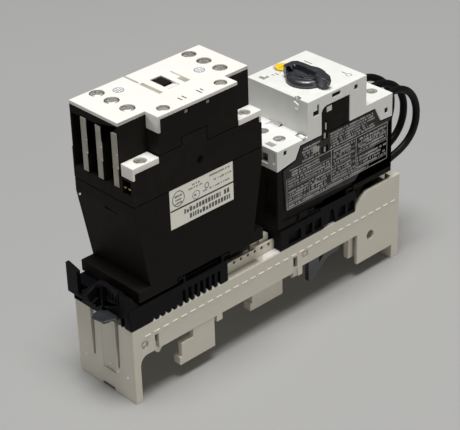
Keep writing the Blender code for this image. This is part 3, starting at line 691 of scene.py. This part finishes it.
def release_slide():
    """The pull tongue, thinned towards its point, and the curved spring arm of the snap latch."""
    under_slope = [(-12, 46), (-12, 49.3), (-9.6, 49.3), (-6.8, 47.8), (-5.2, 46)]  # x, z
    side_slope = [(-16, 46), (-16, 49.3), (-12.4, 49.3), (-10.2, 47.9), (-8.8, 46)]  # y, z
    near_curve = [
        (-12, -4.5), (-10.3, -4.6), (-9.2, -9.5), (-8.3, -11.4), (-5.6, -12.4), (-2.0, -13.4), (0, -16),
        (-12, -16),
    ]  # x, y
    far_corner = [(-12, 0), (-12, -4.6), (-10.2, -3.9), (-6.6, 0)]  # x, y
    cuts = [
        prism(under_slope, "y", -16, 0),
        prism(side_slope, "x", -12, -2),
        prism(near_curve, "z", 46, 51),
        prism(far_corner, "z", 46, 51),
    ]
    refine("release_slide", "handle_black", cuts=cuts, width=0.35)
    arm = [
        (138.4, 17.0), (139.4, 20.4), (143.0, 23.6), (148.0, 25.0), (155.5, 24.6), (155.5, 21.4),
        (147.2, 21.0), (142.6, 18.0), (139.8, 15.0),
    ]  # x, z
    loose_piece("latch_arm", "handle_black", [prism(arm, "y", -17.8, -15.0)], 0.3,
                "release_slide")


# Carriers

GUARD_ARCH = [
    (13.7, 52.5), (13.7, 54.2), (8.7, 57.8), (-3.2, 67.8), (-7.0, 68.3), (-15.6, 65.6), (-15.6, 63.6),
    (-8.0, 66.0), (-4.4, 65.6), (6.8, 56.2), (6.8, 52.5),
]  # y, z
GUARD_LEDGE = [(-6.2, 55.0), (-2.4, 56.6), (-2.4, 55.6), (-6.2, 54.2)]  # x, z
GUARD_WEB = [(-2.2, 52), (1.0, 52), (1.0, 64.0), (-1.2, 66.2), (-2.2, 66.2)]  # x, z


def carriers():
    wing_cut = box(-1.6, 2, 12.5, SIDE + 1, 57.7, 70)
    refine("contactor_carrier", cuts=[wing_cut], width=0.3)
    end_guard()
    edge_cut = box(104, 135.5, OUTSIDE, -SIDE + 1.0, 56.9, 60)
    refine("breaker_carrier", cuts=[edge_cut], width=0.3)


def end_guard():
    """The arched guard, its ledge, its middle web and the ridges at the pull-tab end."""
    solids = [
        prism(GUARD_ARCH, "x", -2.6, -1.2),
        prism(GUARD_LEDGE, "y", -0.6, 9.4),
        prism(GUARD_WEB, "y", -3.4, -1.9),
        box(-3.0, -1.0, 1.0, 2.2, 53, 60.5),
    ]
    solids += [box(0.0, 0.6, y, y + 0.9, 54.0, 62.6) for y in (-6.4, -8.6, -10.8, -13.0)]
    loose_piece("end_guard", "carrier_black", solids, 0.15)


# Screws

HEAD_HEIGHT = 2.9
THREAD_RADIUS = 1.75
THREAD_PITCH = 0.7
SLOT_HALF_WIDTH = 0.47


def screw(stands_for, recess=0.6, lift=0.0):
    """A clamp screw with a domed head, a full slot, a shorter cross slot and a threaded shank."""
    x0, x1, y0, y1, z0, z1 = span(stands_for)
    top = z1 + lift
    x, y, radius = (x0 + x1) / 2, (y0 + y1) / 2, (y1 - y0) / 2
    profile = [
        (0, top), (radius * 0.55, top - 0.05), (radius - 0.55, top - 0.22),
        (radius - 0.15, top - 0.55), (radius, top - 0.95), (radius, top - HEAD_HEIGHT),
        (THREAD_RADIUS, top - HEAD_HEIGHT),
    ]
    z = top - HEAD_HEIGHT - 0.4
    while z > z0 + 0.8:
        profile += [(THREAD_RADIUS, z), (THREAD_RADIUS - 0.3, z - THREAD_PITCH / 2)]
        z -= THREAD_PITCH
    profile += [(1.3, z0), (0, z0)]
    long, short, half = radius * 0.82, radius * 0.55, SLOT_HALF_WIDTH
    slots = [
        box(x - long, x + long, y - half, y + half, top - recess, top + 1),
        box(x - half, x + half, y - short, y + short, top - recess * 1.3, top + 1),
    ]
    piece(f"{stands_for}_turned", "screw_steel", [lathe(x, y, profile)], slots,
          stands_for=(stands_for,), width=0.06, segments=1, limit=45)


# Contactor

WINDOWS_X = (41.4, 55.6)  # two small windows in the auxiliary block's near side
POLE_RIBS_Y = ((10.6, 14.5), (-0.55, 3.35), (-12.25, -8.35))
# z from, z to, and how far the rib's far edge is set in, of the painted shade on the ribs' near faces
RIB_STEPS = (
    (120.6, 130.9, 0), (130.9, 131.8, 0.9), (131.8, 137.9, 0), (137.9, 138.8, 0.9), (138.8, 149.5, 0),
)
# x0, x1, y0, y1 of the floors of the grooves around the indicator's window, which get painted shade
GROOVES = (
    (41.45, 42.45, 11.75, SIDE - 0.1), (41.35, 43.55, -4.65, 10.45), (61.25, 61.95, -4.25, 10.05),
    (58.55, 61.25, -4.25, 1.75),
)
TOP_SYMBOLS = ((30.1, 12.8), (72.3, 0.4))
# x0, x1, y0, y1 of the short printed strokes
TOP_DASHES = (
    (43.8, 44.5, -17.9, -14.6), (46.5, 47.2, -18.0, -14.4), (55.6, 56.3, -19.2, -14.9),
    (57.9, 58.6, -17.6, -15.2),
)


def contactor_body():
    hole = ("y", 49.9, 123.0)
    refine("contactor_housing", cuts=[rod(*hole, 2.0, OUTSIDE, -SIDE + 3, 28)], width=0.1)
    piece("side_hole_shade", "recess_dark", [rod(*hole, 1.95, -SIDE + 2.2, -SIDE + 2.9)],
          slot="housing_black", width=0)
    windows = [box(x, x + 2.6, OUTSIDE, -SIDE + 1.0, 150.9, 153.0) for x in WINDOWS_X]
    refine("aux_contact_block", cuts=windows, width=0.3)
    catches = [box(x + 0.3, x + 2.3, -SIDE + 0.5, -SIDE + 1.3, 151.1, 152.7) for x in WINDOWS_X]
    loose_piece("slot_catches", "shaded_grey", catches, 0.15)
    refine("contactor_base", cuts=[box(6, 7.6, -9.8, 0.6, 104.7, 105.5)], width=0.4)
    nub = rod("x", 19.2, 104.9, 0.6, 6.1, 7.5, 14)
    loose_piece("base_nub", "ledge_grey", [nub], 0.12)


def contactor_top():
    """The front cover, painted shade on the near faces of its ribs and on the floors of its grooves,
    and the indicator in its window.
    """
    top = span("contactor_front")[5]
    refine("contactor_front", width=0.25, above=top - 0.1, merge=False)
    # Painted shade: darkened cream on the ribs' near faces, and below on the groove floors.
    faces = [
        box(6.7, 6.95, y0 + 0.05 + inset, y1 - 0.05, z0, z1)
        for y0, y1 in POLE_RIBS_Y for z0, z1, inset in RIB_STEPS
    ]
    loose_piece("rib_painted_shade", "rib_grey", faces)
    painted_shade_floors = [box(*groove, top - 0.9, top - 0.15) for groove in GROOVES]
    loose_piece("groove_shade", "rib_grey", painted_shade_floors)
    indicator = box(48.3, 55.0, 2.2, 9.9, 152.6, 155.3)
    loose_piece("contact_indicator", "housing_black", [indicator], 0.3, body="contact_carriage")
    symbols = []
    for x, y in TOP_SYMBOLS:
        symbols += [
            top_ring(x, y, 2.9, 0.55, top),
            top_mark(x - 1.6, x - 1.1, y - 1.4, y + 1.4, top),
            top_mark(x - 0.25, x + 0.25, y - 2.2, y + 2.2, top),
            top_mark(x + 1.0, x + 1.5, y - 1.6, y + 0.9, top),
        ]
    printed("top_rings", "mark_blue", symbols)
    printed("top_dashes", "ink_black", [top_mark(*dash, top) for dash in TOP_DASHES])
    slope = prism([(-3.7, 153.9), (-3.7, 155.7), (1.6, 154.2), (1.6, 153.9)], "x", 48.1, 55.2)
    loose_piece("window_slope", "front_cream", [slope])


def contactor_terminals():
    refine("coil_cover_a1", width=0.5)
    refine("coil_cover_a2", width=0.5)
    for number in range(1, 7):
        screw(f"main_screw_{number}", lift=2.4 if number % 2 else 1.6)
    for number in (1, 2):
        screw(f"aux_screw_{number}", recess=0.35)
        screw(f"coil_screw_{number}")
    for number, x0, x1 in ((1, 6.9, 12.5), (2, 87.0, 91.8)):
        wire_groove = rod("x", -18.0, 122.0, 1.0, x0 - 1, x1 + 1, 16)
        piece(f"coil_clamp_{number}", "brass", [box(x0, x1, -20.6, -15.4, 122.0, 122.9)],
              [wire_groove], "copper", width=0.15, segments=1)


def contactor_label():
    x0, x1, face, _, z0, _ = span("rating_label")
    refine("rating_label", width=0.08, segments=1)
    split = z0 + 10.3
    divider = patch(x0 + 0.1, x1 - 0.1, split - 0.4, split + 0.4, face)
    printed("label_divider", "recess_dark", [divider])
    ink = [
        oval(x0 + 5.6, split + 5.6, 4.1, 4.4, 0.45, face),
        oval(x0 + 17.3, split + 3.0, 2.5, 2.4, 0.3, face),
        oval(x0 + 24.6, split + 5.4, 1.5, 1.7, 0.45, face),
    ]
    for start, end, rise, height, seed in (
        (x0 + 3.2, x0 + 8.0, 6.6, 1.1, 5),
        (x0 + 3.6, x0 + 7.6, 4.6, 0.9, 9),
        (x0 + 3.2, x0 + 8.0, 2.6, 1.1, 3),
        (x0 + 12.5, x0 + 21.5, 7.3, 0.9, 7),
        (x0 + 15.0, x0 + 20.0, 9.1, 0.9, 2),
        (x0 + 16.0, x0 + 18.8, 2.4, 1.3, 8),
        (x0 + 26.5, x1 - 1.2, 9.4, 1.0, 13),
        (x0 + 28.0, x1 - 1.0, 6.2, 0.9, 23),
        (x0 + 22.0, x1 - 1.0, 2.6, 0.9, 31),
        (x0 + 9.0, x1 - 2.6, -4.6, 2.6, 17),
        (x0 + 12.5, x1 - 2.6, -8.4, 2.6, 29),
    ):
        ink += word_row(start, end, split + rise, height, face, seed)
    printed("label_print", "label_ink", ink)


# Breaker

COVER_END = span("breaker_cover")[0]
COVER_TOP = span("breaker_cover")[5]
SHOULDER_Z = 105.8  # the low step of the cover on the contactor's side
# x0, x1, z0, z1 of the openings in the cover's near side
COVER_HOLES = (
    (107.9, 110.1, 101.6, 104.2), (186.0, 188.6, 97.0, 100.0), (133.0, 134.4, 118.7, 121.8),
    (130.0, 134.4, 115.9, 118.7), (144.2, 150.6, 121.9, 124.1), (161.4, 164.0, 120.3, 123.0),
)
HOLE_DEPTH = 1.4
SHOULDER_TAB = [(121.6, -22.5), (124.2, -22.5), (124.6, -18.6), (122.6, -18.4)]  # x, y
BLOCK_TAB = [(-16.2, 119.4), (-13.2, 121.4), (-12.8, 123.8), (-16.2, 122.6)]  # y, z
RAMP = [  # x, z
    (119.5, SHOULDER_Z + 1), (119.5, SHOULDER_Z), (126, SHOULDER_Z - 1.6), (126, SHOULDER_Z + 1),
]
FOOT_ARCH = [(137, 58), (137, 62.6), (141.6, 64.0), (160, 63.2), (160, 58)]  # x, z
END_FRAMES = (  # y0, y1, z0, z1 of the raised frames on the end that faces the contactor
    (-20.8, -13.2, 73.5, 87.0), (-20.8, -13.2, 66.5, 71.5), (-4.0, 4.0, 73.5, 87.0),
)
FRAME_WIDTH = 0.6


def breaker_cover():
    cuts = [box(x0, x1, OUTSIDE, -SIDE + HOLE_DEPTH, z0, z1) for x0, x1, z0, z1 in COVER_HOLES]
    cuts += [
        box(COVER_END - 1, COVER_END + 1.0, -20.4, -19.3, 97.5, 103.4),
        box(124.5, 127.4, -16.4, -12.6, 123.8, 127),
        box(105.4, 109.4, -16.4, -10.4, SHOULDER_Z - 0.6, SHOULDER_Z + 1),
        prism(RAMP, "y", -3.4, 4.8),
        box(122.4, 125.8, -21.2, -16.2, SHOULDER_Z - 0.8, SHOULDER_Z + 1),
    ]
    refine("breaker_cover", "cover_grey", cuts=cuts, width=0.3)
    shades = [
        box(x0 + 0.1, x1 - 0.1, -SIDE + 0.6, -SIDE + 1.5, z0 + 0.1, z1 - 0.1)
        for x0, x1, z0, z1 in COVER_HOLES
    ]
    loose_piece("cover_hole_shades", "recess_dark", shades)
    painted_shade_floors = [
        box(105.5, 109.3, -16.3, -10.5, SHOULDER_Z - 0.62, SHOULDER_Z - 0.52),
        box(122.5, 125.6, -21.1, -16.3, SHOULDER_Z - 0.82, SHOULDER_Z - 0.72),
    ]
    loose_piece("shoulder_shades", "shaded_grey", painted_shade_floors)
    shoulder_tab = prism(SHOULDER_TAB, "z", SHOULDER_Z - 1, SHOULDER_Z + 0.9)
    loose_piece("shoulder_tab", "cover_grey", [shoulder_tab], 0.2)
    block_tab = prism(BLOCK_TAB, "x", 125.0, 125.75)
    loose_piece("block_tab", "ledge_grey", [block_tab], 0.1)


def breaker_window():
    """The dark insert in the cover's side, with a light tab and the ends of two pins."""
    panel = [
        (136.4, 102.4), (157.9, 102.4), (157.9, 118.2), (157.0, 119.0), (139.6, 119.0),
        (137.4, 118.3), (136.4, 116.4),
    ]  # x, z
    insert = prism(panel, "y", -SIDE + 0.5, -SIDE + 3.2)
    recess = box(139.4, 140.8, -SIDE, -SIDE + 1.8, 104.0, 109.6)
    piece("window_insert", "housing_black", [insert], [recess], width=0.15, segments=1)
    corner = [(136.3, 119.0), (139.6, 119.0), (138.0, 118.6), (136.8, 117.6), (136.3, 116.2)]  # x, z
    loose_piece("window_corner", "cover_grey", [prism(corner, "y", -SIDE, -SIDE + 2.0)])
    light = [
        box(140.4, 144.2, -SIDE + 0.2, -SIDE + 0.9, 114.8, 117.8),
        box(139.7, 140.5, -SIDE + 0.6, -SIDE + 1.6, 104.6, 108.6),
    ]
    loose_piece("window_lights", "adapter_grey", light, 0.12)


def breaker_base():
    cuts = [
        box(116.2, 119.0, OUTSIDE, -SIDE + 1.2, 57.3, 62.2),
        box(130.2, 134.5, OUTSIDE, -SIDE + 1.2, 57.5, 61.6),
        prism(FOOT_ARCH, "y", OUTSIDE, -SIDE + 1.0),
    ]
    refine("breaker_base", cuts=cuts, width=0.3)
    bars = []
    for y0, y1, z0, z1 in END_FRAMES:
        for bar in (
            (y0, y1, z1 - FRAME_WIDTH, z1), (y0, y1, z0, z0 + FRAME_WIDTH),
            (y0, y0 + FRAME_WIDTH, z0, z1), (y1 - FRAME_WIDTH, y1, z0, z1),
        ):
            bars.append(box(COVER_END - 0.35, COVER_END + 0.3, *bar))
    loose_piece("end_frames", "carrier_black", bars)


# The type plate on the breaker's near side

PLATE_FACE = span("rating_plate")[2]
# x0, x1, z0, z1 of the border and the table's rules
PLATE_RULES = (
    (109.6, 188.6, 68.3, 68.7), (109.6, 110.0, 68.3, 86.5), (188.2, 188.6, 68.3, 91.2),
    (112.0, 188.6, 90.9, 91.3), (143.5, 143.9, 72.0, 90.9), (163.0, 163.4, 72.0, 90.9),
    (126.5, 126.8, 70.6, 80.0), (110, 188.4, 71.0, 71.22), (110, 188.4, 80.4, 80.62),
    (110, 188.4, 86.4, 86.62),
)
PLATE_SOLID_CELLS = ((165.0, 171.0, 84.2, 86.0), (129.0, 134.0, 75.0, 76.4))
# x0, x1, z0, z1 of each block of small print, and the pitch of its rows
PLATE_PRINT = (
    (111, 126, 71.6, 80.0, 1.55), (127.5, 143, 71.6, 80.0, 1.7), (144.5, 162.5, 71.6, 80.0, 1.7),
    (164, 187.6, 71.6, 80.0, 1.9), (111, 143, 81.2, 86.2, 1.65), (145.5, 162, 81.2, 90.6, 1.9),
    (166, 187.6, 81.2, 90.6, 1.8), (113.5, 134.5, 87.2, 90.6, 1.7), (111, 187.5, 69.1, 70.8, 1.7),
    (121.5, 135.0, 92.3, 101.6, 1.75), (143.0, 178.0, 92.3, 101.6, 1.6),
)
PLATE_CORNER = (177, 98)  # past this x, rows above this z stop early, short of the cut corner


def plate():
    """A border, table rules, solid cells and rows of strokes that spell nothing."""
    refine("rating_plate", cuts=[
        box(136.4, 141.2, OUTSIDE, -SIDE + 2, 99.6, 103.4),
        box(136.0, 141.2, OUTSIDE, -SIDE + 2, 91.5, 95.6),
    ], width=0.06, segments=1)
    pins = [
        box(138.2, 139.5, -SIDE + 0.3, -SIDE + 1.4, 99.9, 103.0),
        box(138.2, 139.5, -SIDE + 0.3, -SIDE + 1.4, 91.8, 94.9),
        box(129.6, 134.2, PLATE_FACE - 0.08, PLATE_FACE + 0.1, 94.4, 97.6),
    ]
    loose_piece("plate_pins", "rib_grey", pins)
    ink = [patch(*rule, PLATE_FACE) for rule in PLATE_RULES]
    seed = 7
    for x0, x1, z0, z1, pitch in PLATE_PRINT:
        z = z0
        while z < z1 - 0.8:
            seed = (seed * 29 + 13) % 97
            inset = 0.0 if seed % 3 else 0.18 * (x1 - x0)
            if x1 > PLATE_CORNER[0] and z > PLATE_CORNER[1]:
                inset += 1.5
            ink += word_row(x0, x1 - inset, z, pitch * 0.66, PLATE_FACE, seed)
            z += pitch
    ink += [patch(*cell, PLATE_FACE) for cell in PLATE_SOLID_CELLS]
    printed("plate_print", "ink_pale", ink)


# Rotary handle, setting dial and test plunger. Outlines are from the handle's axis and foot.

HANDLE_SIDE = [
    (13.4, 1.4), (13.6, 4.4), (12.8, 6.0), (9.5, 6.9), (4, 7.3), (-4, 7.4), (-9, 7.3), (-13, 6.7),
    (-15.8, 5.9), (-16.8, 4.6), (-16.6, 2.6), (-15.0, 0.8), (-9, 0.8),
]  # y, z
HANDLE_PLAN = [
    (2.6, -14.5), (2.8, -4), (3.0, 9.5), (2.0, 12.4), (-1.6, 13.6), (-5.2, 12.2), (-7.4, 8), (-7.6, 2),
    (-6.4, -3), (-4.2, -6.6), (-3.2, -9), (-3.2, -14.6), (-1.4, -16.8), (1.2, -16.8),
]  # x, y
HANDLE_SHOULDER = [(-9, 9), (-9, 4.6), (-1, 4.5), (4.4, 4.9), (9, 7.2), (9, 9)]  # y, z
HANDLE_SLOPE = [(-9, 2.6), (-9, 9), (-4.9, 9), (-5.4, 4.9)]  # x, z
HANDLE_FOOT = 16.2  # from the shaft's lower end up to the round foot


def handle():
    """The rotary handle: a round foot and a bar with rounded ends and a finger cup on its near side."""
    x0, x1, _, y1, z0, _ = span("rotary_handle")
    x, radius, foot = (x0 + x1) / 2, (x1 - x0) / 2, z0 + HANDLE_FOOT
    y = y1 - radius
    profile = [
        (0, foot + 3.6), (8.6, foot + 3.6), (9.8, foot + 3.3), (10.6, foot + 2.7), (11.1, foot + 1.8),
        (radius, foot + 1.0), (radius, foot), (3.5, foot), (3.5, z0), (0, z0),
    ]
    cup = [
        (x - 2.9 + 2.2 * math.cos(turn), y + 1.6 + 5.9 * math.sin(turn))
        for turn in arc(0, 360, 28)[:-1]
    ]
    name = "rotary_handle_turned"
    made = add_object(name, mesh_of([prism(moved(HANDLE_SIDE, y, foot), "x", x - 9, x + 4)], name))
    carve(made, prism(moved(HANDLE_PLAN, x, y), "z", foot, foot + 9), "INTERSECT")
    carve(made, prism(moved(HANDLE_SHOULDER, y, foot), "x", x - 9, x - 1.2), "DIFFERENCE")
    carve(made, prism(moved(HANDLE_SLOPE, x, foot), "y", y - 9, y + 8), "DIFFERENCE")
    carve(made, prism(cup, "z", foot + 3.9, foot + 9), "DIFFERENCE")
    carve(made, lathe(x, y, profile), "UNION")
    carve(made, box(x - 1.9, x + 1.9, y - 17.5, y - 4, foot + 1.6, foot + 4.2), "DIFFERENCE")
    soften(made, 0.4, 3)
    dress(made, "handle_black")
    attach(made, nodes["rotary_handle"]["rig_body"])
    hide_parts("rotary_handle")


DIAL_AT = (147.0, 16.5)  # x, y of the setting dial
DIAL_SCALE_RADIUS = 6.3


def controls():
    """The smaller moving pieces on the cover's top, and the plain symbols around them."""
    # The padlock slide's grey is painted light, lighter than the black handle where it faces the light.
    refine("padlock_slide", "slide_grey", width=0.1, segments=1)
    refine("setting_dial", width=0.3)
    refine("test_plunger", width=0.2)
    seat = top_mark(129.2, 133.8, 13.4, 17.6, COVER_TOP)
    printed("plunger_seat", "shaded_grey", [seat])
    marks = [
        top_ring(*DIAL_AT, 5.4, 0.25, COVER_TOP),
        top_mark(138.6, 139.2, 11.6, 14.6, COVER_TOP),
        top_mark(136.4, 137.0, 13.0, 14.8, COVER_TOP),
        top_mark(160.4, 161.0, 8.0, 14.0, COVER_TOP),
        top_ring(164.5, -15.5, 1.7, 0.35, COVER_TOP),
        top_mark(164.2, 164.8, -13.4, -10.2, COVER_TOP),
    ]
    for turn in arc(-60, 60, 6):
        x = DIAL_AT[0] + DIAL_SCALE_RADIUS * math.sin(turn)
        y = DIAL_AT[1] - DIAL_SCALE_RADIUS * math.cos(turn)
        marks.append(top_mark(x - 0.2, x + 0.2, y - 0.5, y + 0.5, COVER_TOP))
    printed("cover_marks", "label_ink", marks)


# Return springs of the contactor

SPRING_TURNS = 5
SPRING_WIRE = 0.35  # radius


def spring(number):
    """A coil spring of round wire, in the place of the CAD return spring."""
    x0, x1, y0, y1, z0, z1 = span(f"return_spring_{number}")
    x, y, radius = (x0 + x1) / 2, (y0 + y1) / 2, (x1 - x0) / 2 - SPRING_WIRE
    steps, sides = 24 * SPRING_TURNS, 8
    low, high = z0 + SPRING_WIRE, z1 - SPRING_WIRE
    points, faces = [], []
    for i in range(steps + 1):
        turn = 2 * math.pi * SPRING_TURNS * i / steps
        for j in range(sides):
            around = 2 * math.pi * j / sides
            reach = radius + SPRING_WIRE * math.cos(around)
            height = low + (high - low) * i / steps + SPRING_WIRE * math.sin(around)
            points.append((x + reach * math.cos(turn), y + reach * math.sin(turn), height))
    for i in range(steps):
        for j in range(sides):
            k = (j + 1) % sides
            faces.append((i * sides + j, i * sides + k, (i + 1) * sides + k, (i + 1) * sides + j))
    faces += [tuple(range(sides)), tuple(steps * sides + j for j in range(sides))]
    made = loose_piece(f"coil_spring_{number}", "screw_steel", [(points, faces)])
    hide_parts(f"return_spring_{number}")
    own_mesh(made)


# Supply leads

LEAD_DIAMETER = 4.3
# x, z and how far the lead has moved across from its terminal to its strip, 0 to 2
LEAD_ROUTE = (
    (186.9, 99.5, 0), (191.5, 99.5, 0), (198.5, 100.4, 0.1), (206, 100.5, 0.35), (213.4, 98.2, 0.6),
    (219.4, 93.4, 0.85), (223.2, 86.8, 1), (224.5, 79.3, 1), (223.2, 71.9, 1), (219.2, 65.4, 1.1),
    (213, 60.8, 1.3), (205.8, 58, 1.5), (198.6, 55.4, 1.7), (192, 51.3, 1.85), (186.6, 45.6, 1.95),
    (183.2, 39.4, 2), (182.2, 33.4, 2),
)
# y of each lead at its terminal, at the loop's outer end and at its strip
LEADS_Y = ((-12.5, -12.5, -9.5), (0.0, -3.0, -1.5), (12.5, 6.5, 6.5))


def lead(number, across):
    """A lead from a terminal, in one loop, down to its busbar strip."""
    curve = bpy.data.curves.new(f"lead_{number}", "CURVE")
    curve.dimensions = "3D"
    curve.bevel_depth = LEAD_DIAMETER / 2 * MM
    curve.bevel_resolution = 6
    curve.resolution_u = 10
    curve.use_fill_caps = True
    spline = curve.splines.new("BEZIER")
    spline.bezier_points.add(len(LEAD_ROUTE) - 1)
    for point, (x, z, progress) in zip(spline.bezier_points, LEAD_ROUTE):
        step = min(int(progress), 1)
        part = progress - step
        point.co = at(x, across[step] * (1 - part) + across[step + 1] * part, z)
        point.handle_left_type = point.handle_right_type = "AUTO"
    made = add_object(f"lead_{number}", curve)
    curve.materials.append(FINISHES["wire_black"])
    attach(made, "starter")
    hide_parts(f"supply_wire_{number}")


make_camera()
make_floor()
make_light()
scene.view_settings.view_transform = "Standard"

adapter_body()
wall_details()
ledge_details()
release_slide()
carriers()
contactor_body()
contactor_top()
contactor_terminals()
contactor_label()
breaker_cover()
breaker_window()
breaker_base()
plate()
handle()
controls()
for number in (1, 2):
    spring(number)
for number, across in enumerate(LEADS_Y, 1):
    lead(number, across)

for name, source in nodes.items():
    if not source.hide_render:
        source.data.materials.clear()
        source.data.materials.append(FINISHES[SLOTS[name]])
